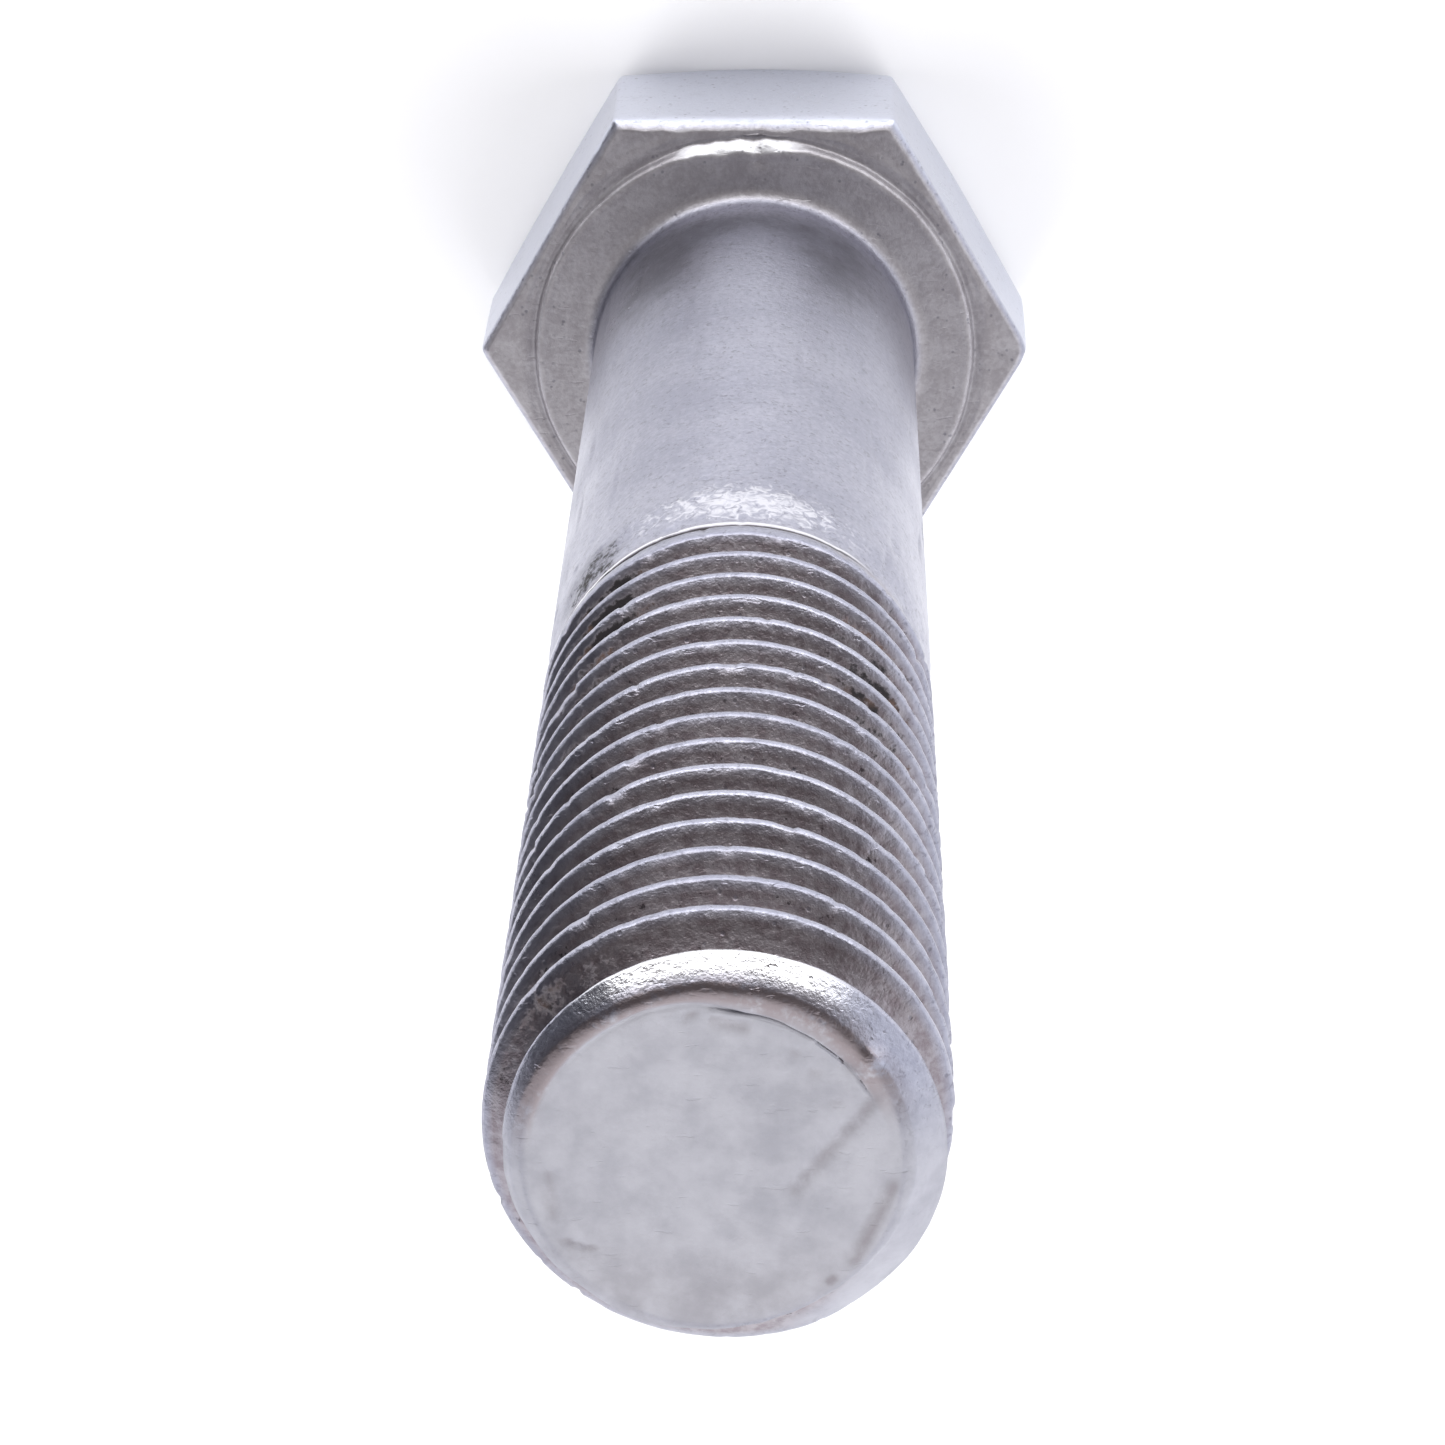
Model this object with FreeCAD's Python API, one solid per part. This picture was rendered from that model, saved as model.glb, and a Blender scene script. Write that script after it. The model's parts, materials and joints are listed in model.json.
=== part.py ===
import FreeCAD, Part
import math
import os

# Hexagon head bolt, M18 x 2.5 x 90, forged in one piece with a plain shank and a rolled thread.
# All sizes are in millimetres. The origin is the centre of the bearing face under the head.
# +Z runs along the axis to the threaded tip, so the head lies below the origin.
# Two corners of the hexagon lie on the X axis and two of its flats are square to Y.

# Head
head_sides = 6
across_flats = 27.0
head_height = 11.5
head_chamfer_degrees = 30.0
head_top_face_diameter = 0.95 * across_flats
bearing_edge_radius = 0.5
washer_face_diameter = 24.9
washer_face_height = 0.5

# Shank
thread_diameter = 18.0
bolt_length = 90.0
thread_length = 42.0
under_head_fillet = 0.9
shoulder_depth = 0.2
shoulder_length = 3.0
shoulder_rise_length = 1.0

# Thread
thread_pitch = 2.5
tip_chamfer = 1.85
runout_turns = 1.1
groove_start_degrees = 10.0
first_crest_height_at_plus_y = 49.45

# An ISO metric thread form follows from its pitch. Its 60 degree triangle is cut short at the crest by an
# eighth of its height, and a rounding at the root touches both flanks.
flank_angle = math.radians(30)
triangle_height = thread_pitch / 2 / math.tan(flank_angle)
crest_radius = thread_diameter / 2
apex_radius = crest_radius + triangle_height / 8 - triangle_height
root_rounding = triangle_height / 6
root_radius = apex_radius + root_rounding
tool_clearance = 0.2

full_turn = 360
plus_y_degrees = 90
axis_origin = FreeCAD.Vector(0, 0, 0)
axis_direction = FreeCAD.Vector(0, 0, 1)


def point(radius, height):
    """A point of the half section in the XZ plane."""
    return FreeCAD.Vector(radius, 0, height)


def lines(points):
    """Straight edges through a list of points."""
    return [Part.LineSegment(a, b).toShape() for a, b in zip(points, points[1:])]


def turned(edges):
    """The solid that a closed half section makes when it turns about the bolt's axis."""
    return Part.Face(Part.Wire(edges)).revolve(axis_origin, axis_direction, full_turn)


def hexagon_head():
    """A hexagonal prism, rounded on its bearing side and chamfered to a circle at its outer end."""
    bearing_side = -washer_face_height
    corner_radius = across_flats / math.sqrt(3)
    corners = []
    for corner in range(head_sides + 1):
        angle = 2 * math.pi * corner / head_sides
        corners.append(FreeCAD.Vector(math.cos(angle), math.sin(angle), 0) * corner_radius)
    hexagon = Part.Face(Part.makePolygon(corners))
    hexagon.translate(axis_direction * bearing_side)
    prism = hexagon.extrude(axis_direction * (washer_face_height - head_height))
    half_height = -head_height / 2
    bearing_edges = [edge for edge in prism.Edges if edge.BoundBox.ZMin > half_height]
    prism = prism.makeFillet(bearing_edge_radius, bearing_edges)

    top_radius = head_top_face_diameter / 2
    rim_radius = across_flats
    rim_height = -head_height + (rim_radius - top_radius) * math.tan(math.radians(head_chamfer_degrees))
    envelope = turned(lines([
        point(0, -head_height),
        point(top_radius, -head_height),
        point(rim_radius, rim_height),
        point(rim_radius, 0),
        point(0, 0),
        point(0, -head_height),
    ]))
    return prism.common(envelope)


def washer_face_and_shank():
    """The round washer face, the fillet under the head, the shank and the blank of the thread."""
    disc_bottom = -head_height / 2
    fillet_start = point(crest_radius + under_head_fillet, 0)
    fillet_end = point(crest_radius, under_head_fillet)
    fillet_side = under_head_fillet * (1 - math.cos(math.radians(45)))
    fillet_middle = point(crest_radius + fillet_side, fillet_side)
    thread_start = bolt_length - thread_length
    outline = lines([
        point(0, disc_bottom),
        point(washer_face_diameter / 2, disc_bottom),
        point(washer_face_diameter / 2, 0),
        fillet_start,
    ])
    outline.append(Part.Arc(fillet_start, fillet_middle, fillet_end).toShape())
    outline += lines([
        fillet_end,
        point(crest_radius, thread_start - shoulder_length),
        point(crest_radius - shoulder_depth, thread_start),
        point(crest_radius, thread_start + shoulder_rise_length),
        point(crest_radius, bolt_length - tip_chamfer),
        point(crest_radius - tip_chamfer, bolt_length),
        point(0, bolt_length),
        point(0, disc_bottom),
    ])
    return turned(outline)


def groove_section():
    """The 60 degree thread groove with its rounded root, centred on height zero."""
    rounding_centre = root_radius + root_rounding
    tangent_radius = rounding_centre - root_rounding * math.sin(flank_angle)
    tangent_half_width = (tangent_radius - apex_radius) * math.tan(flank_angle)
    outer_radius = crest_radius + tool_clearance
    outer_half_width = (outer_radius - apex_radius) * math.tan(flank_angle)
    lower_tangent = point(tangent_radius, -tangent_half_width)
    upper_tangent = point(tangent_radius, tangent_half_width)
    edges = [Part.Arc(lower_tangent, point(root_radius, 0), upper_tangent).toShape()]
    edges += lines([
        upper_tangent,
        point(outer_radius, outer_half_width),
        point(outer_radius, -outer_half_width),
        lower_tangent,
    ])
    return Part.Wire(edges)


def swept_groove(spine):
    """The groove's section carried along a helix as a solid, kept upright on the bolt's axis."""
    sweep = Part.BRepOffsetAPI.MakePipeShell(Part.Wire(spine))
    sweep.setBiNormalMode(axis_direction)
    sweep.add(groove_section())
    sweep.build()
    sweep.makeSolid()
    return sweep.shape()


def placed_on_thread(tool, turned_degrees):
    """Turn and raise a groove tool that starts on the X axis to its place on the thread."""
    height_at_plus_y = first_crest_height_at_plus_y - thread_pitch / 2
    tool.rotate(axis_origin, axis_direction, turned_degrees)
    turns_past_plus_y = (turned_degrees - plus_y_degrees) / full_turn
    tool.translate(axis_direction * (height_at_plus_y + thread_pitch * turns_past_plus_y))
    return tool


def full_depth_groove():
    """The groove from the end of its run-out to beyond the tip of the bolt."""
    start_degrees = groove_start_degrees + full_turn * runout_turns
    groove_height = thread_length + thread_pitch
    helix = Part.makeHelix(thread_pitch, groove_height, root_radius)
    return placed_on_thread(swept_groove(helix), start_degrees)


def runout_groove():
    """The groove where it rises out of the shank on a cone, going back towards the head."""
    start_degrees = groove_start_degrees + full_turn * runout_turns
    rise_per_turn = (crest_radius - root_radius) / runout_turns
    cone_angle = math.atan(rise_per_turn / thread_pitch)
    turns = runout_turns + tool_clearance / rise_per_turn
    pitch_along_cone = thread_pitch / math.cos(cone_angle)
    helix = Part.makeHelix(pitch_along_cone, turns * thread_pitch, root_radius, math.degrees(cone_angle))
    helix.rotate(axis_origin, FreeCAD.Vector(1, 0, 0), full_turn / 2)
    return placed_on_thread(swept_groove(helix), start_degrees)


def hex_bolt():
    blank = hexagon_head().fuse(washer_face_and_shank()).removeSplitter()
    return blank.cut(full_depth_groove()).cut(runout_groove())


os.makedirs("parts", exist_ok=True)
bolt = hex_bolt()
print("hex_bolt: valid", bolt.isValid(), "solids", len(bolt.Solids), "volume", round(bolt.Volume, 1))
bolt.exportStep("parts/hex_bolt.step")
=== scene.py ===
import json
import math

import bpy
import numpy as np
from mathutils import Matrix, Vector


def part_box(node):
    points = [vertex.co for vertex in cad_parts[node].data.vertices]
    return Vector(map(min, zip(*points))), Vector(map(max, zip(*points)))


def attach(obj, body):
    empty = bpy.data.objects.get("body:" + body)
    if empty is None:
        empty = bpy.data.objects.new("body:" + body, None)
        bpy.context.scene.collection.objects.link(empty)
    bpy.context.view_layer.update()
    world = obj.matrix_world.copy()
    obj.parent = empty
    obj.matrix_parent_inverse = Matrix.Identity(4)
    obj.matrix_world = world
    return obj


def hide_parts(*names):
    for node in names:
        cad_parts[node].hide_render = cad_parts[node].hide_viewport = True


# A forged and thread-rolled stainless bolt that stands on its head, seen from above its tip.
# Sizes are in millimetres in the bolt's own frame until the mesh is made. The mesh, the lights and the camera
# are in metres.

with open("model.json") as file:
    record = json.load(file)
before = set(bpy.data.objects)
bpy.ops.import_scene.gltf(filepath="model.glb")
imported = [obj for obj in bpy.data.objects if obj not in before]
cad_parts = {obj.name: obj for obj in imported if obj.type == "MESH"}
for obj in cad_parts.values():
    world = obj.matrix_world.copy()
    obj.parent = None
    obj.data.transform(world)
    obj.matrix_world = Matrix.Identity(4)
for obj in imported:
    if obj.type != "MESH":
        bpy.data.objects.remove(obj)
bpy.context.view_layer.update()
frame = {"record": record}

MM = 0.001
node_low, node_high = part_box("hex_bolt")
mounts = {mount["name"]: mount for mount in frame["record"]["mounts"]}

# Driving sizes, read from the frame
TIP = round(node_high.z / MM, 2)
HEAD_TOP = round(node_low.z / MM, 2)
APOTHEM = round((node_high.y - node_low.y) / 2 / MM, 2)
CREST = mounts["plain_shank"]["dims"]["r_mm"]

# Head
HEAD_CHAMFER = math.radians(30)
TOP_CIRCLE = 0.95 * APOTHEM
TOP_FACE_RINGS = (0.8, 3, 6, 9, 11.4, TOP_CIRCLE - 0.25)
CORNER_ROUNDING = 0.32
BEARING_PLANE = -0.5
BEVEL = 0.36
BEVEL_MORE_TOWARDS_CAMERA = 0.34
RIDGE_RADIUS = 13.25
WASHER_RIM = 12.4
FILLET = 0.9

# The worn bevel round the bearing side, as shares of its width: how far in from the flats and how far up
BEVEL_PROFILE = (
    (0.02, 0.10),
    (0.10, 0.24),
    (0.35, 0.48),
    (0.62, 0.75),
    (0.84, 0.93),
    (0.97, 0.99),
    (1.15, 1.0),
)

# The step up to the washer face: distance from the rim, the same where it was trimmed, and height
STEP_PROFILE = (
    (0.22, 0.22, -0.56),
    (0.12, 0.14, -0.54),
    (0.05, 0.05, -0.46),
    (0.0, -0.12, -0.30),
    (-0.05, -0.28, -0.15),
    (-0.12, -0.40, -0.04),
    (-0.22, -0.50, 0.02),
    (-0.34, -0.62, 0.04),
    (-0.52, -0.80, 0.02),
    (-0.75, -1.0, 0.0),
)
STEP_FOOT = WASHER_RIM + 0.34
TRIMMED_AT = 94
TORN_AT = 88

# Thread
PITCH = 2.5
CREST_WEAR = 0.09
THREAD_LENGTH = 42.0
TRIANGLE = PITCH * math.sqrt(3) / 2
APEX = CREST - 7 / 8 * TRIANGLE - CREST_WEAR
ROOT_ROUNDING = TRIANGLE / 6
FULL_DEPTH = CREST - APEX - ROOT_ROUNDING
ROOT_AT_PLUS_X = 47.575
RUNOUT_START = 10 / 360
RUNOUT_TURNS = 1.1
SHOULDER_TOP = TIP - THREAD_LENGTH
SHOULDER_DEPTH = 0.22
CREST_ROUNDING = 0.12
TIP_CHAMFER = 1.6
CHAMFER_EDGE_ROUNDING = 0.16
CHAMFER_SHIFT = (-0.15, -0.30)
LIP_ROUNDING = 0.9
END_FACE = TIP - 0.1

# Small shapes round the axis, with directions in degrees from +X. The tables list how deep, direction and
# half width in degrees.
CORNER_BRUISES = ((0.14, 0, 1.8), (0.04, 180, 1.4))
SHEARED_SPOTS = ((0.22, -52, 16), (0.16, -128, 12))
KNOB_AT = 36
KNOB_HEIGHT = 0.10
LIP_AT = 95
LIP_ROLLED_OVER_AT = 50
CAMERA_SIDE = 92

# Mesh: columns in a sixth of a turn, crowded towards the hexagon's corners, and rows across one turn of the
# groove, as heights above its root
SECTOR_COLUMNS = 54
CROWDING = 0.5
ROOT_TANGENT = ROOT_ROUNDING * math.sqrt(3) / 2
THREAD_ROWS = [-ROOT_TANGENT, 0, ROOT_TANGENT, 0.85, 1.05, 1.16, 1.25, 1.34, 1.45, 1.65]
HELIX_TURNS = 18

sector = np.arange(SECTOR_COLUMNS) / SECTOR_COLUMNS
crowded = sector - CROWDING * np.sin(2 * math.pi * sector) / (2 * math.pi)
ANGLE = np.concatenate([(side + crowded) * math.pi / 3 for side in range(6)])
COLUMNS = len(ANGLE)
TURN = ANGLE / (2 * math.pi)


def noise(seed, angle, height, around, spacing):
    """Smooth random values from -1 to 1 over a surface, joined up all the way round the axis."""
    rows = 256
    lattice = np.random.default_rng(seed).uniform(-1, 1, (rows, around))
    across = np.asarray(angle) / (2 * math.pi) * around
    along = np.asarray(height) / spacing
    across, along = np.broadcast_arrays(across, along)
    column = np.floor(across).astype(int)
    row = np.floor(along).astype(int)
    s = across - column
    t = along - row
    s = s * s * (3 - 2 * s)
    t = t * t * (3 - 2 * t)
    left = lattice[row % rows, column % around] * (1 - t) + lattice[(row + 1) % rows, column % around] * t
    right_column = (column + 1) % around
    right = lattice[row % rows, right_column] * (1 - t) + lattice[(row + 1) % rows, right_column] * t
    return left * (1 - s) + right * s


def smooth_step(low, high, value):
    """A smooth rise from 0 at low to 1 at high, or a fall where low is the larger."""
    t = np.clip((value - low) / (high - low), 0, 1)
    return t * t * (3 - 2 * t)


def smooth_min(a, b, rounding):
    """The smaller of two values, with the crease between them rounded."""
    h = np.clip(0.5 + 0.5 * (b - a) / rounding, 0, 1)
    return b * (1 - h) + a * h - rounding * h * (1 - h)


def hexagon(apothem):
    """Distance from the axis to a hexagon with rounded corners, for every column."""
    from_flat = np.abs((ANGLE % (math.pi / 3)) - math.pi / 6)
    flat = apothem / np.cos(from_flat)
    centre = (apothem - CORNER_ROUNDING) / math.cos(math.pi / 6)
    from_corner = math.pi / 6 - from_flat
    inside = np.maximum(CORNER_ROUNDING**2 - (centre * np.sin(from_corner)) ** 2, 0)
    rounded = centre * np.cos(from_corner) + np.sqrt(inside)
    on_flat = apothem * np.tan(from_flat) <= (apothem - CORNER_ROUNDING) * math.tan(math.pi / 6)
    return np.where(on_flat, flat, rounded)


def angle_gap(angle, degrees):
    """Distance in degrees from one direction round the axis."""
    gap = (np.degrees(angle) - degrees + 180) % 360 - 180
    return np.abs(gap)


def peak(angle, degrees, half_width):
    """A soft peak in one direction round the axis, 1 in its middle."""
    return np.exp(-((angle_gap(angle, degrees) / half_width) ** 2))


# The shank, the thread and the chamfer at its tip, as one radius for each angle and height


def blank_radius(angle, z):
    """The shank before the thread is rolled, with its shoulder and a slight unevenness."""
    falling = smooth_step(SHOULDER_TOP - 3.5, SHOULDER_TOP - 0.2, z)
    rising = smooth_step(0.1, 1.1, z - SHOULDER_TOP)
    swell = 0.006 * noise(1, angle, z, 10, 8.0)
    return CREST - SHOULDER_DEPTH * falling * (1 - rising) + swell


def thread_radius(angle, z):
    """The shank with its rolled thread, worn and nicked here and there on its crests and its plain part."""
    turn = angle / (2 * math.pi)
    place = (z - ROOT_AT_PLUS_X) / PITCH - turn
    wobble = 0.022 * noise(4, angle, z, 70, 0.9) + 0.010 * noise(5, angle, z, 150, 0.5)
    worn = 0.05 * np.maximum(noise(6, angle, z, 110, 1.1), 0) ** 2
    nicked = 0.15 * np.maximum(noise(7, angle, z, 90, 1.25) - 0.6, 0) / 0.4
    radius = blank_radius(angle, z) - worn - nicked
    for groove in (np.floor(place), np.ceil(place)):
        offset = (place - groove) * PITCH + wobble
        rolled = np.minimum((groove + turn - RUNOUT_START) / RUNOUT_TURNS, 1)
        wall = APEX + np.sqrt(3 * offset**2 + ROOT_ROUNDING**2) + FULL_DEPTH * (1 - rolled)
        radius = smooth_min(radius, wall, CREST_ROUNDING)
    return radius


def chamfer_radius(angle, z):
    """The cone at the tip, which is cut a little to one side and flattened in two places."""
    uneven = 0.04 * noise(8, angle, z, 14, 3.0) + 0.02 * noise(9, angle, z, 60, 1.0)
    sheared = sum(depth * peak(angle, degrees, half_width) for depth, degrees, half_width in SHEARED_SPOTS)
    aside = CHAMFER_SHIFT[0] * np.cos(angle) + CHAMFER_SHIFT[1] * np.sin(angle)
    return CREST - (z - (TIP - TIP_CHAMFER)) + aside + uneven - sheared


def shank_radius(angle, z):
    """The threaded shank with its chamfered tip."""
    return smooth_min(thread_radius(angle, z), chamfer_radius(angle, z), CHAMFER_EDGE_ROUNDING)


# The skin: closed rings of points, a helical stretch for the thread, and the faces between them


class Skin:
    """Collects the points and faces of one closed surface, from the head's outer face to the tip."""

    def __init__(self):
        self.points = []
        self.faces = []
        self.count = 0

    def add(self, radius, height, angle):
        """Adds a block of points and gives back their numbers."""
        radius, height, angle = np.broadcast_arrays(radius, height, angle)
        block = np.stack([radius * np.cos(angle), radius * np.sin(angle), height], axis=-1).reshape(-1, 3)
        first = self.count
        self.points.append(block)
        self.count += len(block)
        return np.arange(first, self.count).reshape(radius.shape)

    def quads(self, lower_left, lower_right, upper_right, upper_left):
        """Adds faces whose corners are given as four blocks of point numbers."""
        block = np.stack([lower_left, lower_right, upper_right, upper_left], axis=-1).reshape(-1, 4)
        self.faces += block.tolist()

    def band(self, below, above):
        """Faces between two closed rings."""
        self.quads(below, np.roll(below, -1), np.roll(above, -1), above)

    def rings(self, previous, section):
        """Rings along a section, which lists a radius and a height for each, joined to the ring before."""
        for radius, height in section:
            ring = self.add(radius, height, ANGLE)
            if previous is None:
                centre = int(self.add(0.0, np.mean(height), 0.0).reshape(1)[0])
                self.faces += [[centre, int(b), int(a)] for a, b in zip(ring, np.roll(ring, -1))]
            else:
                self.band(previous, ring)
            previous = ring
        return previous

    def close(self, ring, height):
        """A point in the middle that closes the last ring."""
        centre = int(self.add(0.0, height, 0.0).reshape(1)[0])
        self.faces += [[int(a), int(b), centre] for a, b in zip(ring, np.roll(ring, -1))]


def arc(centre_radius, centre_height, size, start_degrees, end_degrees, steps):
    """Radius and height of points round an arc of the half section."""
    section = []
    for turn in np.radians(np.linspace(start_degrees, end_degrees, steps)):
        section.append((centre_radius + size * math.cos(turn), centre_height + size * math.sin(turn)))
    return section


def head_section():
    """The head from the middle of its outer face, round its flats, to the fillet on the shank."""
    section = []
    for radius in TOP_FACE_RINGS:
        section.append((radius, HEAD_TOP + 0.02 * (1 + noise(20, ANGLE, radius, 9, 3.0))))
    bruise = sum(depth * peak(ANGLE, degrees, half_width) for depth, degrees, half_width in CORNER_BRUISES)
    flats = hexagon(APOTHEM) + 0.015 * noise(21, ANGLE, 0.0, 24, 1.0)
    cone_end = HEAD_TOP + (flats - TOP_CIRCLE) * math.tan(HEAD_CHAMFER)
    section += [(TOP_CIRCLE - 0.08, HEAD_TOP + 0.01), (TOP_CIRCLE + 0.05, HEAD_TOP + 0.05)]
    for share in (0.2, 0.6, 0.94):
        radius = TOP_CIRCLE + (flats - TOP_CIRCLE) * share
        section.append((radius, HEAD_TOP + (radius - TOP_CIRCLE) * math.tan(HEAD_CHAMFER)))
    facing_camera = smooth_step(50, 24, angle_gap(ANGLE, 90))
    uneven = 0.4 * noise(23, ANGLE, 0.0, 44, 1.0) + 0.3 * noise(24, ANGLE, 0.0, 110, 1.0)
    bevel = BEVEL + BEVEL_MORE_TOWARDS_CAMERA * facing_camera * (1 + uneven)
    side_top = BEARING_PLANE - bevel
    for share in (0.02, 0.06, 0.2, 0.4, 0.6, 0.8, 0.95):
        height = cone_end + (side_top - cone_end) * share
        forged = 0.012 * noise(22, ANGLE, height, 30, 2.5)
        settled = 0.06 * (1 - smooth_step(0, 0.05, share))
        section.append((flats + forged - settled - bruise * share**3, height))

    # The bevel on the bearing edge
    for inset, rise in BEVEL_PROFILE:
        radius = hexagon(APOTHEM - bevel * inset) - bruise
        section.append((radius, side_top + bevel * rise - 0.4 * bruise))
    inner_hexagon = hexagon(APOTHEM - 1.3 * bevel) - bruise
    for share in (0.15, 0.3, 0.42, 0.56, 0.7, 0.85, 1.0):
        radius = inner_hexagon + (STEP_FOOT - inner_hexagon) * share
        ridge = 0.06 * np.exp(-(((radius - RIDGE_RADIUS) / 0.2) ** 2))
        rolled = 0.015 * noise(25, ANGLE, radius, 60, 0.6)
        section.append((radius, BEARING_PLANE + ridge + rolled - 0.4 * bruise * (1 - share)))

    # The step up to the washer face, torn where the forging was trimmed
    trimmed = smooth_step(20, 9, angle_gap(ANGLE, TRIMMED_AT))
    ragged = 0.5 * noise(26, ANGLE, 0.0, 100, 1.0) + 0.5 * noise(27, ANGLE, 0.0, 30, 1.0)
    torn = peak(ANGLE, TORN_AT, 1.3)
    for place, trimmed_place, height in STEP_PROFILE:
        lumps = 0.12 * trimmed * noise(29, ANGLE, height, 120, 0.25)
        reach = place + (trimmed_place - place) * trimmed + (0.04 + 0.16 * trimmed) * ragged + lumps
        notch = torn * smooth_step(-0.5, -0.1, height)
        section.append((WASHER_RIM + reach - 0.12 * notch, height - 0.15 * notch))
    for radius in (11.0, 10.6, 10.2):
        section.append((radius, 0.012 * noise(28, ANGLE, radius, 80, 0.4)))
    section += arc(CREST + FILLET, FILLET, FILLET, 268, 188, 8)
    return section


def shank_section():
    """The plain shank from the fillet to the start of the helical rows."""
    section = []
    for height in np.linspace(FILLET + 0.1, helix_start(), 18):
        section.append((shank_radius(ANGLE, height), height))
    return section


def helix_start():
    """Height of the first helical row at angle zero, two turns below the place where the groove starts."""
    return ROOT_AT_PLUS_X - 2 * PITCH - ROOT_TANGENT


def thread_rows():
    """Heights above the first row of all the rows at angle zero. They repeat with each turn of the thread."""
    one_turn = np.array(THREAD_ROWS) + ROOT_TANGENT
    turns = [one_turn + PITCH * turn for turn in range(HELIX_TURNS + 1)]
    return np.concatenate(turns + [[PITCH * (HELIX_TURNS + 1)]])


def thread_skin(skin, start_ring):
    """Rows that follow the thread's helix, with a wedge at each end that runs out into a closed ring."""
    per_turn = len(THREAD_ROWS)
    rows = thread_rows()
    last = per_turn * HELIX_TURNS
    first_turn = rows[: per_turn + 1]
    start = helix_start()

    # The rows between the wedges. The first column also holds the far ends of the last turn's rows.
    height = start + rows[: last + 1][None, :] + PITCH * TURN[:, None]
    body = np.empty((COLUMNS, last + 1), int)
    body[1:] = skin.add(shank_radius(ANGLE[1:, None], height[1:]), height[1:], ANGLE[1:, None])
    zero_height = start + rows[1:-1]
    zero = skin.add(shank_radius(0.0 * zero_height, zero_height), zero_height, 0.0)
    zero = np.concatenate([[start_ring[0]], zero])
    body[0] = zero[: last + 1]
    skin.quads(body[:-1, :-1], body[1:, :-1], body[1:, 1:], body[:-1, 1:])
    end_height = start + rows[-1]
    end_ring = skin.add(shank_radius(ANGLE, end_height), end_height, ANGLE)
    zero = np.concatenate([zero, [end_ring[0]]])
    seam = zero[per_turn : per_turn + last + 1]
    skin.quads(body[-1, :-1], seam[:-1], seam[1:], body[-1, 1:])

    # The wedge below the first row
    height = start + first_turn[1:-1][None, :] * TURN[1:, None]
    inner = skin.add(shank_radius(ANGLE[1:, None], height), height, ANGLE[1:, None])
    wedge = np.concatenate([start_ring[1:, None], inner, body[1:, :1]], axis=1)
    skin.quads(wedge[:-1, :-1], wedge[1:, :-1], wedge[1:, 1:], wedge[:-1, 1:])
    skin.faces += [[int(start_ring[0]), int(a), int(b)] for a, b in zip(wedge[0, :-1], wedge[0, 1:])]
    seam = zero[: per_turn + 1]
    skin.quads(wedge[-1, :-1], seam[:-1], seam[1:], wedge[-1, 1:])

    # The wedge above the last row
    top_row = start + rows[last] + PITCH * TURN
    height = top_row[1:, None] + first_turn[1:-1][None, :] * (1 - TURN[1:, None])
    inner = skin.add(shank_radius(ANGLE[1:, None], height), height, ANGLE[1:, None])
    wedge = np.empty((COLUMNS, per_turn + 1), int)
    wedge[0] = zero[last:]
    wedge[1:, 0] = body[1:, -1]
    wedge[1:, 1:-1] = inner
    wedge[1:, -1] = end_ring[1:]
    skin.quads(wedge[:-1, :-1], wedge[1:, :-1], wedge[1:, 1:], wedge[:-1, 1:])
    skin.faces += [[int(a), int(end_ring[0]), int(b)] for a, b in zip(wedge[-1, :-1], wedge[-1, 1:])]
    return end_ring


# Marks on the sheared end face: where they start and end, their half width and their depth
FACE_MARKS = [
    ((6.2, 2.9), (3.1, -1.1), 0.30, 0.09),
    ((6.75, -1.0), (5.35, -4.2), 0.34, 0.09),
    ((4.5, -5.05), (4.4, -5.15), 0.20, 0.12),
    ((-5.75, -3.45), (-4.65, -3.8), 0.14, 0.12),
    ((-6.2, -0.6), (-6.1, -2.3), 0.28, 0.06),
    ((3.0, 4.7), (3.1, 4.65), 0.22, 0.05),
    ((3.7, 3.9), (3.85, 3.85), 0.22, 0.06),
    ((4.55, 2.6), (4.65, 2.6), 0.20, 0.05),
    ((0.0, 6.0), (1.3, 5.75), 0.16, 0.10),
    ((-1.0, 6.1), (-0.6, 6.35), 0.14, 0.08),
    ((5.0, 4.2), (5.5, 3.9), 0.16, 0.12),
]


def face_marks(x, y):
    """Depth of the dents and creases on the end face."""
    depth = 0.0 * x
    for start, end, width, deep in FACE_MARKS:
        start = np.array(start) + CHAMFER_SHIFT
        along = np.array(end) + CHAMFER_SHIFT - start
        share = np.clip(((x - start[0]) * along[0] + (y - start[1]) * along[1]) / (along @ along), 0, 1)
        gap = np.hypot(x - start[0] - share * along[0], y - start[1] - share * along[1])
        depth += deep * np.exp(-((gap / width) ** 2))
    return depth


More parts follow.
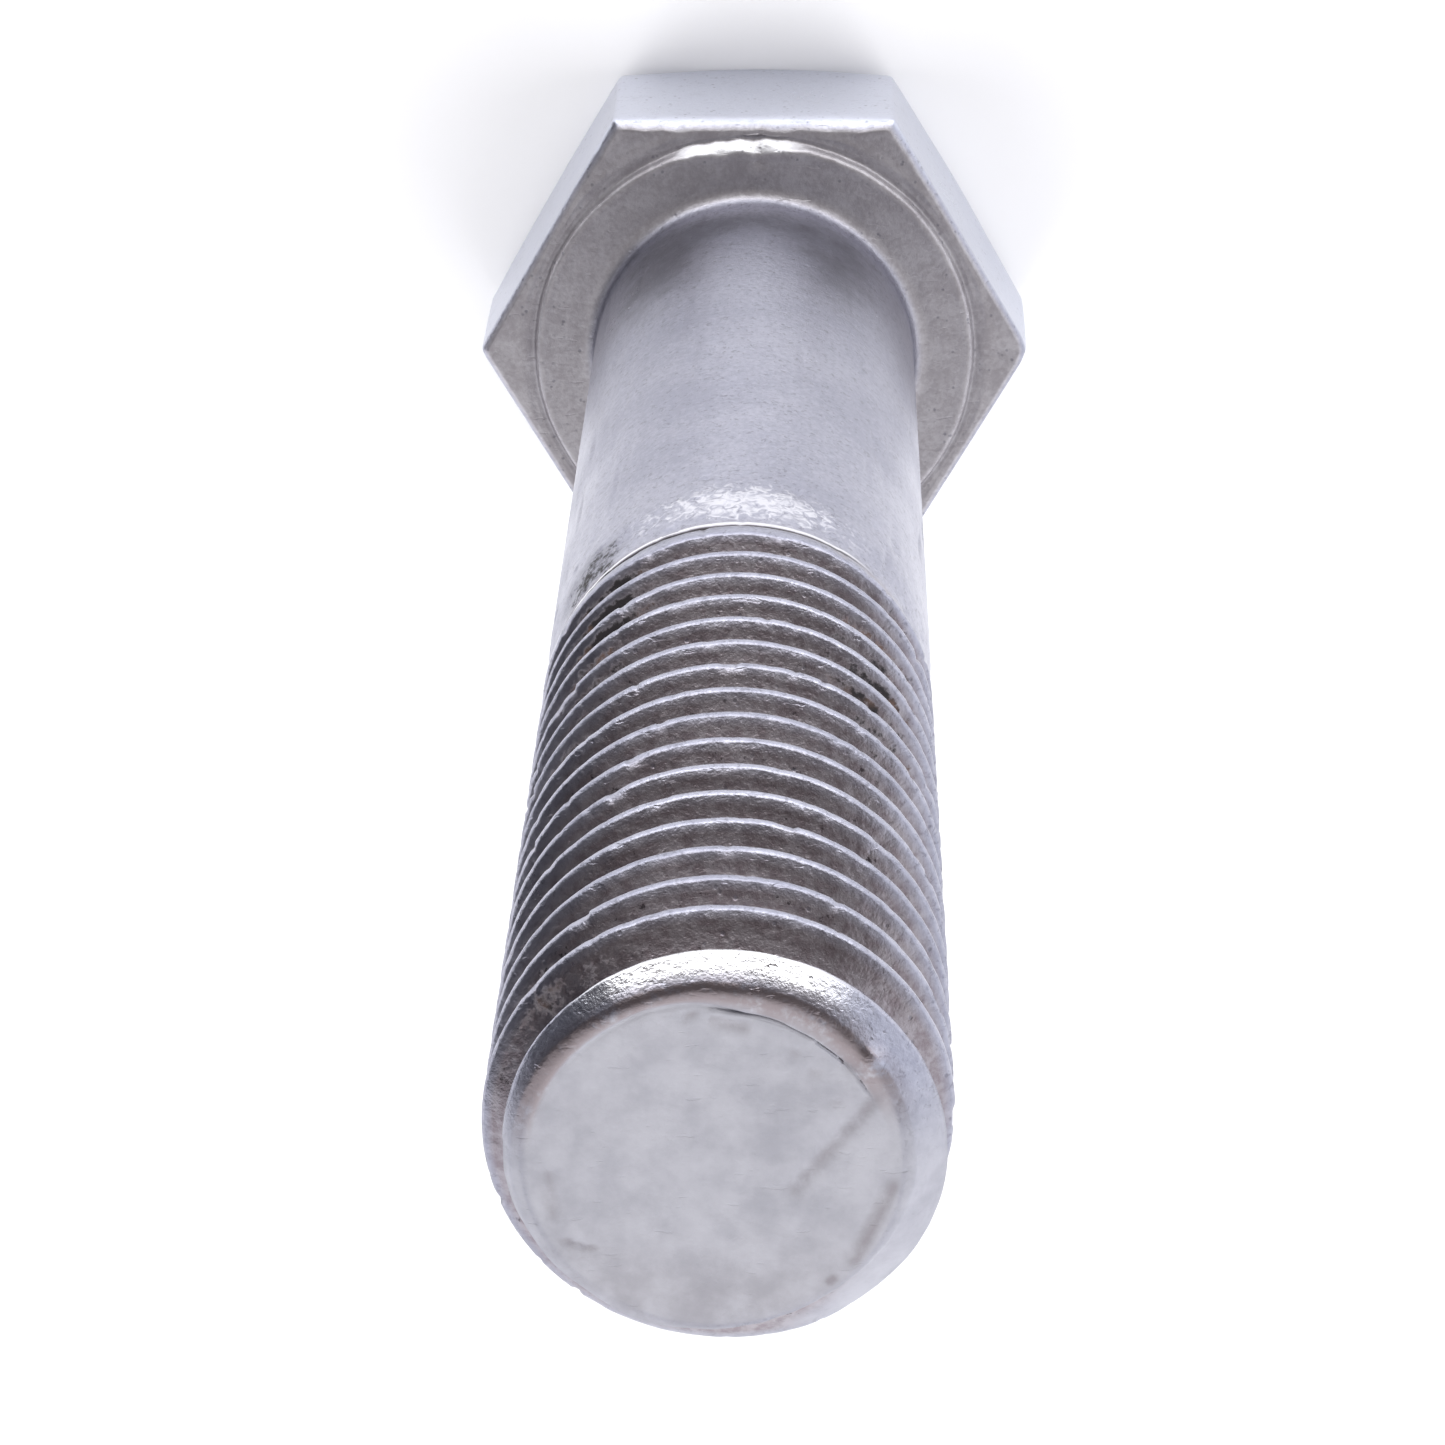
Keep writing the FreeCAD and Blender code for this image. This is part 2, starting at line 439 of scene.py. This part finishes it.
def tip_section(ring_radius, ring_height):
    """The rounded lip of the tip and the end face inside it."""
    upper = smooth_step(80, 50, angle_gap(ANGLE, LIP_AT))
    rounding = LIP_ROUNDING * (1 + 0.10 * noise(30, ANGLE, 0.0, 22, 1.0))
    lip_height = 0.09 * upper * (1 + 0.5 * noise(31, ANGLE, 0.0, 34, 1.0))
    knob = KNOB_HEIGHT * peak(ANGLE, KNOB_AT, 3.0)
    diagonal = math.sqrt(0.5)
    section = []
    for turn in np.radians(np.linspace(53, 90, 6)):
        rise = (math.sin(turn) - diagonal) / (1 - diagonal)
        radius = ring_radius - rounding * (diagonal - math.cos(turn)) + knob
        height = ring_height + (END_FACE + lip_height - ring_height) * rise + knob * rise
        section.append((radius, height))
    inner = ring_radius - rounding * diagonal
    rolled_over = 0.25 * smooth_step(60, 20, angle_gap(ANGLE, LIP_ROLLED_OVER_AT))
    rolled_over *= 1 + 0.5 * noise(34, ANGLE, 0.0, 40, 1.0)
    for inset, drop in ((0.06, 0.2), (0.12, 0.8), (0.18, 1.4), (0.30, 1.1)):
        radius = inner - inset * (0.6 + 0.4 * upper) - rolled_over
        section.append((radius, END_FACE + lip_height * (1 - drop) + knob * (1 - inset / 0.36)))
    for share in np.linspace(0.93, 0.03, 27):
        radius = inner * share
        x = radius * np.cos(ANGLE)
        y = radius * np.sin(ANGLE)
        rough = 0.015 * noise(32, ANGLE, radius, 16, 1.4) + 0.006 * noise(33, ANGLE, radius, 60, 0.5)
        section.append((radius, END_FACE + rough * smooth_step(0, 3, radius) - face_marks(x, y)))
    return section


def bolt_skin():
    """The whole bolt as one closed skin."""
    skin = Skin()
    ring = skin.rings(None, head_section())
    ring = skin.rings(ring, shank_section())
    ring = thread_skin(skin, ring)
    end_height = helix_start() + thread_rows()[-1]
    ring = skin.rings(ring, tip_section(shank_radius(ANGLE, end_height), end_height))
    skin.close(ring, END_FACE)
    return skin


# Where the finish, painted shade and painted highlights change over the surface, stored on the points for the
# material to read

# Soft spots: strength, direction in degrees, height, half width in degrees and half height
SOIL_IN_GROOVES = (
    (0.7, 132, SHOULDER_TOP + 5, 19, 6),
    (0.42, 146, SHOULDER_TOP + 13, 22, 9),
    (0.6, 42, SHOULDER_TOP + 12, 18, 9),
    (0.5, 138, TIP - 3.2, 20, 2.0),
)
# Painted shade on the shank left of the shoulder, which goes into the soil mask with the real dirt
SHADE_LEFT_OF_SHOULDER = ((0.7, 141, SHOULDER_TOP - 1.3, 14, 1.8),)
# Darker patches near the head; the last one is painted shade left of the shoulder
DARKER_PATCHES = (
    (1.0, 126, 8, 16, 6),
    (0.8, 57, 9, 16, 6),
    (0.7, 92, 3.5, 40, 2.5),
    (1.3, 143, SHOULDER_TOP - 1.6, 14, 2.0),
)
# A painted highlight on the shoulder where the thread starts
SHOULDER_HIGHLIGHT_SPOTS = ((1.0, 88, SHOULDER_TOP - 2.4, 34, 2.0),)


def spots(angle, z, table):
    """The soft spots of a table, added together."""
    total = 0.0 * z
    for strength, degrees, height, half_width, half_height in table:
        total += strength * peak(angle, degrees, half_width) * np.exp(-(((z - height) / half_height) ** 2))
    return total


def finish_masks(points):
    """Shares from 0 to 1 of each kind of finish, painted shade and painted highlight at each point."""
    x, y, z = points.T
    radius = np.hypot(x, y)
    angle = np.arctan2(y, x) % (2 * math.pi)
    depth = np.minimum(CREST, chamfer_radius(angle, z)) - radius
    on_shank = smooth_step(CREST + 0.3, CREST + 0.1, radius) * smooth_step(0.0, 0.5, z)
    threaded = smooth_step(SHOULDER_TOP - 0.6, SHOULDER_TOP + 0.4, z) * smooth_step(TIP - 0.25, TIP - 0.5, z)
    groove = threaded * smooth_step(0.05, 0.35, depth)

    # Dirt, darker patches, painted shade left of the shoulder, and a painted highlight on the shoulder
    patchy = 0.5 + 0.5 * noise(40, angle, z, 18, 4.0)
    soil_and_shade = groove * (0.22 * patchy + spots(angle, z, SOIL_IN_GROOVES))
    # The soil mask also takes the painted shade left of the shoulder
    soil_and_shade += on_shank * spots(angle, z, SHADE_LEFT_OF_SHOULDER)
    darkening = on_shank * spots(angle, z, DARKER_PATCHES)
    shoulder_highlight = on_shank * spots(angle, z, SHOULDER_HIGHLIGHT_SPOTS)

    # Painted highlights on the trimmed step and on the side of the tip's cone that faces the camera
    glint = smooth_step(-0.55, -0.42, z) * smooth_step(0.04, 0.0, z)
    glint *= smooth_step(11.7, 11.85, radius) * smooth_step(12.75, 12.6, radius)
    glint *= smooth_step(20, 10, angle_gap(angle, TRIMMED_AT))
    on_chamfer = smooth_step(0.05, 0.25, CREST - radius) * threaded * smooth_step(0.12, 0.02, depth)
    painted_highlight = glint + on_chamfer * smooth_step(46, 24, angle_gap(angle, CAMERA_SIDE))

    # The matt end face, which the lower side of the cone matches, its brown rim, and darker steel in its
    # creases and towards -Y
    middle_x = x - CHAMFER_SHIFT[0]
    middle_y = y - CHAMFER_SHIFT[1]
    from_middle = np.hypot(middle_x, middle_y)
    near_face = smooth_step(TIP - 0.30, TIP - 0.16, z)
    end_face = near_face * smooth_step(7.35, 7.0, from_middle)
    above_chamfer_foot = z - (TIP - TIP_CHAMFER)
    matt_chamfer = smooth_step(-0.3, 0.2, above_chamfer_foot) * smooth_step(0.5, 0.2, depth)
    matt_chamfer *= smooth_step(0.05, 0.25, CREST - radius)
    matt_chamfer *= smooth_step(60, 100, angle_gap(angle, CAMERA_SIDE))
    end_face = np.maximum(end_face, 0.9 * matt_chamfer)
    around_top = smooth_step(88, 60, angle_gap(angle, LIP_AT))
    band_start = 6.95 - 0.35 * smooth_step(60, 20, angle_gap(angle, LIP_ROLLED_OVER_AT))
    lip = near_face * smooth_step(band_start - 0.15, band_start + 0.1, from_middle) * around_top
    face_darkening = near_face * smooth_step(0.0, 0.12, face_marks(x, y)) * smooth_step(7.2, 6.9, from_middle)
    # The end face is also darker towards -Y
    face_darkening += 0.35 * near_face * smooth_step(-2.5, -6.5, y)

    bearing = smooth_step(-0.8, -0.5, z) * smooth_step(1.3, 0.4, z) * smooth_step(CREST, CREST + 0.5, radius)
    flats = smooth_step(BEARING_PLANE - 0.2, BEARING_PLANE - 0.5, z)
    masks = {"groove": groove, "soil_and_shade": soil_and_shade, "darkening": darkening, "shoulder_highlight": shoulder_highlight, "end_face": end_face,
             "lip": lip, "face_darkening": face_darkening, "bearing": bearing, "painted_highlight": painted_highlight, "flats": flats}
    return {name: np.clip(share, 0, 1) for name, share in masks.items()}


def make_bolt():
    """The bolt's mesh, in metres, with its masks of finish, painted shade and painted highlights."""
    skin = bolt_skin()
    points = np.concatenate(skin.points)
    mesh = bpy.data.meshes.new("hex_bolt_forged")
    mesh.from_pydata((points * MM).tolist(), [], skin.faces)
    mesh.validate()
    for name, values in finish_masks(points).items():
        mesh.attributes.new(name, "FLOAT", "POINT").data.foreach_set("value", values.astype(np.float32))
    mesh.shade_smooth()
    bolt = bpy.data.objects.new("hex_bolt_forged", mesh)
    bpy.context.scene.collection.objects.link(bolt)
    return bolt


# Material


def new_node(tree, kind, inputs=(), **settings):
    """Adds a node, sets it, and links or fills its inputs, which are given as (name, value or socket)."""
    node = tree.nodes.new(kind)
    for name, value in settings.items():
        setattr(node, name, value)
    for name, value in inputs:
        if isinstance(value, bpy.types.NodeSocket):
            tree.links.new(value, node.inputs[name])
        else:
            node.inputs[name].default_value = value
    return node


def mixed(tree, share, first, second):
    """A colour between two colours."""
    # The node has sockets for each kind of data: its colours are inputs 6 and 7 and output 2
    node = new_node(tree, "ShaderNodeMix", data_type="RGBA")
    for socket, value in ((node.inputs[0], share), (node.inputs[6], first), (node.inputs[7], second)):
        if isinstance(value, bpy.types.NodeSocket):
            tree.links.new(value, socket)
        else:
            socket.default_value = value
    return node.outputs[2]


def maths(tree, operation, first, second=0.0):
    """The result of a sum, product or other operation on two values."""
    return new_node(tree, "ShaderNodeMath", [(0, first), (1, second)], operation=operation).outputs[0]


def ranged(tree, value, low, high, new_low=0.0, new_high=1.0):
    """A value carried smoothly from one range to another and held there."""
    inputs = [("Value", value), ("From Min", low), ("From Max", high)]
    inputs += [("To Min", new_low), ("To Max", new_high)]
    return new_node(tree, "ShaderNodeMapRange", inputs, interpolation_type="SMOOTHSTEP").outputs[0]


def noise_texture(tree, place, size_mm, detail=3.0, roughness=0.55, distortion=0.0):
    """Cloudy noise with features of about the given size."""
    inputs = [("Vector", place), ("Scale", 1 / (size_mm * MM)), ("Detail", detail),
              ("Roughness", roughness), ("Distortion", distortion)]
    return new_node(tree, "ShaderNodeTexNoise", inputs).outputs["Fac"]


def cells(tree, place, size_mm):
    """Distance to the nearest of many scattered points, in cells."""
    inputs = [("Vector", place), ("Scale", 1 / (size_mm * MM))]
    return new_node(tree, "ShaderNodeTexVoronoi", inputs).outputs["Distance"]


def stretched(tree, place, turn_degrees, scale):
    """Places turned and scaled, so that a texture on them is drawn out in one direction."""
    inputs = [("Vector", place), ("Rotation", [math.radians(v) for v in turn_degrees]), ("Scale", scale)]
    return new_node(tree, "ShaderNodeMapping", inputs).outputs[0]


def bump(tree, height, depth_mm, strength, below=None):
    """A bumped normal, laid over the normal below it."""
    inputs = [("Height", height), ("Distance", depth_mm * MM), ("Strength", strength)]
    if below is not None:
        inputs.append(("Normal", below))
    return new_node(tree, "ShaderNodeBump", inputs).outputs[0]


def attribute(tree, name):
    """A mask of finish, painted shade or painted highlight, stored on the mesh's points."""
    return new_node(tree, "ShaderNodeAttribute", attribute_name=name).outputs["Fac"]


# Edge of the first groove: its height on the +X side, its climb in a turn as a share of the pitch, and where
# along X it fades out
EDGE_HEIGHT_AT_PLUS_X = 47.56
EDGE_CLIMB = 0.59
EDGE_FADES_FROM_X = 4.6
EDGE_ENDS_AT_X = 6.6

# Colours
STEEL_LIGHT = (0.46, 0.465, 0.54, 1)
STEEL_DARK = (0.36, 0.365, 0.44, 1)
# Dark steel for flecks and pits, for darker patches near the head, and for painted shade left of the shoulder
STEEL_MARKS_AND_SHADE = (0.20, 0.20, 0.24, 1)
# The next colour is the painted highlight on the shoulder
STEEL_SHOULDER_HIGHLIGHT = (0.74, 0.74, 0.79, 1)
# The next colour is painted highlight, on the trimmed step, the tip's cone and the first groove's rim
STEEL_PAINTED_HIGHLIGHT = (0.84, 0.84, 0.86, 1)
# Lighter steel on the head's flats is painted reflection of the bright floor
STEEL_FLATS = (0.63, 0.65, 0.73, 1)
BEARING_STEEL = (0.63, 0.61, 0.63, 1)
BEARING_STEEL_DARK = (0.50, 0.475, 0.495, 1)
# Darker, warmer steel on the thread's flanks and roots: painted shade in the grooves and painted reflection
# of warm dark surroundings
FLANK_STEEL = (0.44, 0.405, 0.43, 1)
FLANK_STEEL_BROWN = (0.31, 0.265, 0.285, 1)
END_STEEL = (0.55, 0.55, 0.595, 1)
END_STEEL_DARK = (0.435, 0.435, 0.48, 1)
LIP_STEEL = (0.38, 0.33, 0.345, 1)
FACE_DARKENING_STEEL = (0.34, 0.32, 0.345, 1)
# Nearly black for dirt and specks in the grooves, and for painted shade left of the shoulder and along the
# first groove's edge
GREASE_AND_SHADE = (0.020, 0.016, 0.018, 1)
RUST = (0.13, 0.080, 0.062, 1)


def runout_edge(tree, place):
    """The edge of the shank where the first groove starts to bite: a dark line of painted shade and a bright
    rim of painted highlight beside it, on the +Y side towards the camera, fading out towards +X.
    """
    axes = new_node(tree, "ShaderNodeSeparateXYZ", [(0, place)]).outputs
    angle = maths(tree, "ARCTAN2", axes["Y"], axes["X"])
    height = maths(tree, "SUBTRACT", maths(tree, "DIVIDE", axes["Z"], MM), EDGE_HEIGHT_AT_PLUS_X)
    climb = maths(tree, "MULTIPLY", angle, PITCH * EDGE_CLIMB / (2 * math.pi))
    waver = maths(tree, "MULTIPLY", noise_texture(tree, place, 2.5, 3.0), 0.20)
    above = maths(tree, "SUBTRACT", maths(tree, "SUBTRACT", height, climb), waver)
    seen = ranged(tree, axes["X"], EDGE_ENDS_AT_X * MM, EDGE_FADES_FROM_X * MM)
    seen = maths(tree, "MULTIPLY", seen, ranged(tree, axes["Y"], 0.0, 2 * MM))
    line = maths(tree, "MULTIPLY", ranged(tree, above, -0.03, 0.03), ranged(tree, above, 0.25, 0.17))
    rim = maths(tree, "MULTIPLY", ranged(tree, above, -0.28, -0.20), ranged(tree, above, -0.02, -0.08))
    return maths(tree, "MULTIPLY", line, seen), maths(tree, "MULTIPLY", rim, seen)


def stainless():
    """Forged and rolled stainless steel, with a matt sheared end, soil in the thread, and painted shade and
    highlights.
    """
    material = bpy.data.materials.new("forged_stainless")
    material.use_nodes = True
    tree = material.node_tree
    shader = tree.nodes["Principled BSDF"]
    place = new_node(tree, "ShaderNodeTexCoord").outputs["Object"]

    groove = attribute(tree, "groove")
    soil_and_shade_share = attribute(tree, "soil_and_shade")
    end_face = attribute(tree, "end_face")
    lip = attribute(tree, "lip")
    face_darkening = attribute(tree, "face_darkening")
    bearing = attribute(tree, "bearing")
    shoulder_highlight_share = attribute(tree, "shoulder_highlight")
    painted_highlight = attribute(tree, "painted_highlight")

    clouds = noise_texture(tree, place, 9.0, 4.0)
    mottle = noise_texture(tree, place, 1.6, 5.0, 0.6)
    grain = noise_texture(tree, place, 0.30, 3.0, 0.65)
    fine = noise_texture(tree, place, 0.10, 2.0)
    worms = noise_texture(tree, place, 0.55, 2.0, 0.5, 1.6)
    pits = ranged(tree, cells(tree, place, 0.50), 0.26, 0.10)
    pits = maths(tree, "MULTIPLY", pits, ranged(tree, noise_texture(tree, place, 1.3, 2.0), 0.50, 0.62))
    pits = maths(tree, "MULTIPLY", pits, maths(tree, "SUBTRACT", 1.0, end_face))
    scratch_place = stretched(tree, place, (20, 35, 0), (0.25, 1.0, 1.0))
    scratches = ranged(tree, noise_texture(tree, scratch_place, 0.35, 2.0, 0.5), 0.66, 0.72)
    scratches = maths(tree, "MULTIPLY", scratches, maths(tree, "SUBTRACT", 1.0, groove))
    streak_place = stretched(tree, place, (0, 0, 0), (1.0, 1.0, 0.3))
    streaks = noise_texture(tree, streak_place, 0.55, 4.0, 0.65)
    specks = ranged(tree, noise_texture(tree, place, 0.45, 4.0, 0.7), 0.60, 0.68)
    specks = maths(tree, "MULTIPLY", specks, ranged(tree, noise_texture(tree, place, 3.0, 2.0), 0.42, 0.60))
    specks = maths(tree, "MULTIPLY", specks, groove)

    # Soil, painted shade and the darker spots lie in patches with ragged edges
    ragged = maths(tree, "ADD", maths(tree, "MULTIPLY", mottle, 0.55), maths(tree, "MULTIPLY", grain, 0.45))
    soil_and_shade = ranged(tree, maths(tree, "ADD", ragged, maths(tree, "MULTIPLY", soil_and_shade_share, 0.42)), 0.66, 0.82)
    soil_and_shade = maths(tree, "MULTIPLY", soil_and_shade, ranged(tree, soil_and_shade_share, 0.02, 0.20))
    # Darker patches near the head, and painted shade left of the shoulder
    darkening = maths(tree, "ADD", mottle, maths(tree, "MULTIPLY", attribute(tree, "darkening"), 0.60))
    darkening = maths(tree, "MULTIPLY", ranged(tree, darkening, 0.58, 1.10), 0.68)
    # Painted highlight on the shoulder, broken up by wormy noise
    shoulder_highlight = maths(tree, "ADD", worms, maths(tree, "MULTIPLY", shoulder_highlight_share, 0.45))
    shoulder_highlight = ranged(tree, shoulder_highlight, 0.66, 1.00)
    shoulder_highlight = maths(tree, "MULTIPLY", shoulder_highlight, ranged(tree, shoulder_highlight_share, 0.05, 0.45))

    shade = maths(tree, "ADD", maths(tree, "MULTIPLY", clouds, 0.5), maths(tree, "MULTIPLY", grain, 0.5))
    steel = mixed(tree, ranged(tree, shade, 0.38, 0.62), STEEL_LIGHT, STEEL_DARK)
    flats = attribute(tree, "flats")
    # The head's flats take lighter steel as painted reflection of the bright floor
    steel = mixed(tree, flats, steel, STEEL_FLATS)
    flecks = ranged(tree, noise_texture(tree, place, 0.32, 3.0, 0.6, 1.2), 0.56, 0.66, 0.0, 0.55)
    off_flats = maths(tree, "SUBTRACT", 1.0, maths(tree, "MULTIPLY", flats, 0.75))
    flecks = maths(tree, "MULTIPLY", flecks, off_flats)
    steel = mixed(tree, flecks, steel, STEEL_MARKS_AND_SHADE)
    bearing_steel = mixed(tree, ranged(tree, ragged, 0.38, 0.62), BEARING_STEEL, BEARING_STEEL_DARK)
    flank_steel = mixed(tree, ranged(tree, streaks, 0.38, 0.64), FLANK_STEEL, FLANK_STEEL_BROWN)
    flank_steel = mixed(tree, maths(tree, "MULTIPLY", specks, 0.75), flank_steel, GREASE_AND_SHADE)
    end_shade = maths(tree, "ADD", maths(tree, "MULTIPLY", mottle, 0.6), maths(tree, "MULTIPLY", clouds, 0.4))
    end_steel = mixed(tree, ranged(tree, end_shade, 0.36, 0.66), END_STEEL, END_STEEL_DARK)
    colour = mixed(tree, darkening, steel, STEEL_MARKS_AND_SHADE)
    colour = mixed(tree, shoulder_highlight, colour, STEEL_SHOULDER_HIGHLIGHT)
    colour = mixed(tree, bearing, colour, bearing_steel)
    # The grooves take the darker, warmer flank steel: painted shade and painted reflection
    colour = mixed(tree, groove, colour, flank_steel)
    # Painted highlights on the trimmed step and on the camera side of the tip's cone
    colour = mixed(tree, painted_highlight, colour, STEEL_PAINTED_HIGHLIGHT)
    colour = mixed(tree, end_face, colour, end_steel)
    colour = mixed(tree, maths(tree, "MULTIPLY", lip, ranged(tree, ragged, 0.30, 0.52)), colour, LIP_STEEL)
    # Darker steel in the end face's creases and towards -Y
    face_darkening = maths(tree, "MULTIPLY", face_darkening, ranged(tree, mottle, 0.20, 0.60))
    colour = mixed(tree, face_darkening, colour, FACE_DARKENING_STEEL)
    colour = mixed(tree, maths(tree, "MULTIPLY", pits, 0.5), colour, STEEL_MARKS_AND_SHADE)
    rust = maths(tree, "MULTIPLY", groove, ranged(tree, noise_texture(tree, place, 2.4, 2.0), 0.50, 0.62))
    # The soil colour: dirt in the grooves, and painted shade on the shank left of the shoulder
    soil_and_shade_colour = mixed(tree, rust, GREASE_AND_SHADE, RUST)
    colour = mixed(tree, soil_and_shade, colour, soil_and_shade_colour)
    # Painted shade and a painted highlight along the edge of the first groove
    edge_shade, edge_highlight = runout_edge(tree, place)
    colour = mixed(tree, edge_highlight, colour, STEEL_PAINTED_HIGHLIGHT)
    colour = mixed(tree, maths(tree, "MULTIPLY", edge_shade, 0.85), colour, GREASE_AND_SHADE)
    tree.links.new(colour, shader.inputs["Base Color"])

    metal = maths(tree, "SUBTRACT", 1.0, maths(tree, "MULTIPLY", soil_and_shade, 0.85))
    metal = maths(tree, "SUBTRACT", metal, maths(tree, "MULTIPLY", end_face, 0.35))
    tree.links.new(metal, shader.inputs["Metallic"])

    rough = ranged(tree, clouds, 0.30, 0.70, 0.25, 0.33)
    rough = maths(tree, "ADD", rough, maths(tree, "MULTIPLY", end_face, 0.26))
    rough = maths(tree, "ADD", rough, maths(tree, "MULTIPLY", bearing, 0.22))
    rough = maths(tree, "SUBTRACT", rough, maths(tree, "MULTIPLY", painted_highlight, 0.08))
    rough = maths(tree, "ADD", rough, maths(tree, "MULTIPLY", soil_and_shade, 0.30))
    rough = maths(tree, "ADD", rough, maths(tree, "MULTIPLY", grain, 0.06))
    tree.links.new(rough, shader.inputs["Roughness"])

    normal = bump(tree, mottle, 0.04, 0.30)
    normal = bump(tree, maths(tree, "MULTIPLY", worms, shoulder_highlight_share), 0.08, 0.7, normal)
    normal = bump(tree, grain, 0.060, 0.45, normal)
    normal = bump(tree, fine, 0.010, 0.30, normal)
    normal = bump(tree, maths(tree, "SUBTRACT", 1.0, pits), 0.02, 0.5, normal)
    normal = bump(tree, maths(tree, "SUBTRACT", 1.0, scratches), 0.02, 0.6, normal)
    tree.links.new(normal, shader.inputs["Normal"])
    return material


# Floor, lights and camera

FLOOR_REACH = 3.0
STUDIO_WHITE = (1.12, 1.15, 1.25, 1)
STUDIO_CEILING = (0.80, 0.79, 0.81, 1)
OVERHEAD_CARD = (0.13, 0.115, 0.118, 1)
OVERHEAD_CARD_TOWARDS = (0, 0.54, 0.84)
LEFT_CARD = (0.05, 0.05, 0.065, 1)
LEFT_CARD_TOWARDS = (-0.93, 0.22, 0.30)
SOFTBOX_PLACE = (0.15, 1.45, 0.62)
SOFTBOX_WIDTH = 3.1
SOFTBOX_HEIGHT = 0.56
SOFTBOX_RADIANCE = 2.6
OVERHEAD_LIGHTS = {"left_overhead": (-0.62, -0.35, 0.80), "right_overhead": (0.62, -0.35, 0.80)}
OVERHEAD_BRIGHTNESS = 1.65
OVERHEAD_SPREAD = math.radians(60)
CAMERA_PLACE = (0.00384, 0.08023, 0.22774)
CAMERA_PAN = math.radians(1.46)
CAMERA_TILT = math.radians(-24.36)
CAMERA_ROLL = math.radians(-0.44)
CAMERA_LENS = 105.7


def floor_material():
    """A matt, nearly white paint."""
    material = bpy.data.materials.new("pale_floor")
    material.use_nodes = True
    tree = material.node_tree
    shader = tree.nodes["Principled BSDF"]
    shader.inputs["Base Color"].default_value = (0.93, 0.93, 0.94, 1)
    shader.inputs["Roughness"].default_value = 0.8
    shader.inputs["Specular IOR Level"].default_value = 0.1
    return material


def make_floor():
    """A wide floor under the head, which is part of the stage and not of the bolt."""
    signs = ((-1, -1), (1, -1), (1, 1), (-1, 1))
    corners = [(x_sign * FLOOR_REACH, y_sign * FLOOR_REACH, 0) for x_sign, y_sign in signs]
    mesh = bpy.data.meshes.new("floor")
    mesh.from_pydata(corners, [], [(0, 1, 2, 3)])
    mesh.materials.append(floor_material())
    floor = bpy.data.objects.new("floor", mesh)
    floor.location.z = HEAD_TOP * MM
    bpy.context.scene.collection.objects.link(floor)


def dark_card(tree, direction, towards, squeeze, inner_degrees, outer_degrees):
    """A soft-edged dark card seen in each direction, 1 in its middle. A squeeze below 1 makes it wider."""
    kind = "ShaderNodeVectorMath"
    squeezed = new_node(tree, kind, [(0, direction), (1, squeeze)], operation="MULTIPLY").outputs[0]
    unit = new_node(tree, kind, [(0, squeezed)], operation="NORMALIZE").outputs[0]
    middle = Vector(towards).normalized()
    close = new_node(tree, kind, [(0, unit), (1, middle)], operation="DOT_PRODUCT").outputs["Value"]
    return ranged(tree, close, math.cos(math.radians(outer_degrees)), math.cos(math.radians(inner_degrees)))


def make_world():
    """A soft studio: white all round, with a dark card over the far side and a smaller one on the left."""
    world = bpy.data.worlds.new("studio")
    world.use_nodes = True
    tree = world.node_tree
    direction = new_node(tree, "ShaderNodeTexCoord").outputs["Generated"]
    height = new_node(tree, "ShaderNodeSeparateXYZ", [(0, direction)]).outputs["Z"]
    colour = mixed(tree, ranged(tree, height, 0.15, 0.7), STUDIO_WHITE, STUDIO_CEILING)
    overhead = dark_card(tree, direction, OVERHEAD_CARD_TOWARDS, (0.5, 1, 1), 24, 48)
    colour = mixed(tree, overhead, colour, OVERHEAD_CARD)
    left = dark_card(tree, direction, LEFT_CARD_TOWARDS, (1, 1, 1), 22, 36)
    colour = mixed(tree, left, colour, LEFT_CARD)
    tree.links.new(colour, tree.nodes["Background"].inputs["Color"])
    bpy.context.scene.world = world


def add_light(name, kind, place, brightness):
    """A light at a place that faces the middle of the bolt."""
    light = bpy.data.lights.new(name, kind)
    light.energy = brightness
    lamp = bpy.data.objects.new(name, light)
    middle = Vector((0, 0, TIP / 2 * MM))
    lamp.location = place
    lamp.rotation_euler = (Vector(place) - middle).to_track_quat("Z", "Y").to_euler()
    bpy.context.scene.collection.objects.link(lamp)
    return lamp


def make_lights():
    """A long softbox behind the bolt, and two broad soft lights overhead that leave no mirrored spot."""
    softbox_power = SOFTBOX_RADIANCE * math.pi * SOFTBOX_WIDTH * SOFTBOX_HEIGHT
    softbox = add_light("back_softbox", "AREA", SOFTBOX_PLACE, softbox_power)
    softbox.data.shape = "RECTANGLE"
    softbox.data.size = SOFTBOX_WIDTH
    softbox.data.size_y = SOFTBOX_HEIGHT
    for name, place in OVERHEAD_LIGHTS.items():
        overhead = add_light(name, "SUN", place, OVERHEAD_BRIGHTNESS)
        overhead.data.angle = OVERHEAD_SPREAD
        overhead.visible_glossy = False


def make_camera():
    """Close above the tip with a long lens, looking down the bolt at its head."""
    camera = bpy.data.objects.new("camera", bpy.data.cameras.new("camera"))
    camera.data.lens = CAMERA_LENS
    camera.data.sensor_width = 36
    camera.data.clip_start = 0.01
    pan = Matrix.Rotation(CAMERA_PAN, 4, "Y")
    tilt = Matrix.Rotation(CAMERA_TILT, 4, "X")
    roll = Matrix.Rotation(CAMERA_ROLL, 4, "Z")
    place = Matrix.Translation(CAMERA_PLACE)
    camera.matrix_world = place @ pan @ tilt @ roll
    bpy.context.scene.collection.objects.link(camera)
    bpy.context.scene.camera = camera


make_camera()
make_floor()
make_world()
make_lights()
bpy.context.scene.view_settings.view_transform = "Standard"

bolt = make_bolt()
bolt.data.materials.append(stainless())
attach(bolt, "root")
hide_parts("hex_bolt")
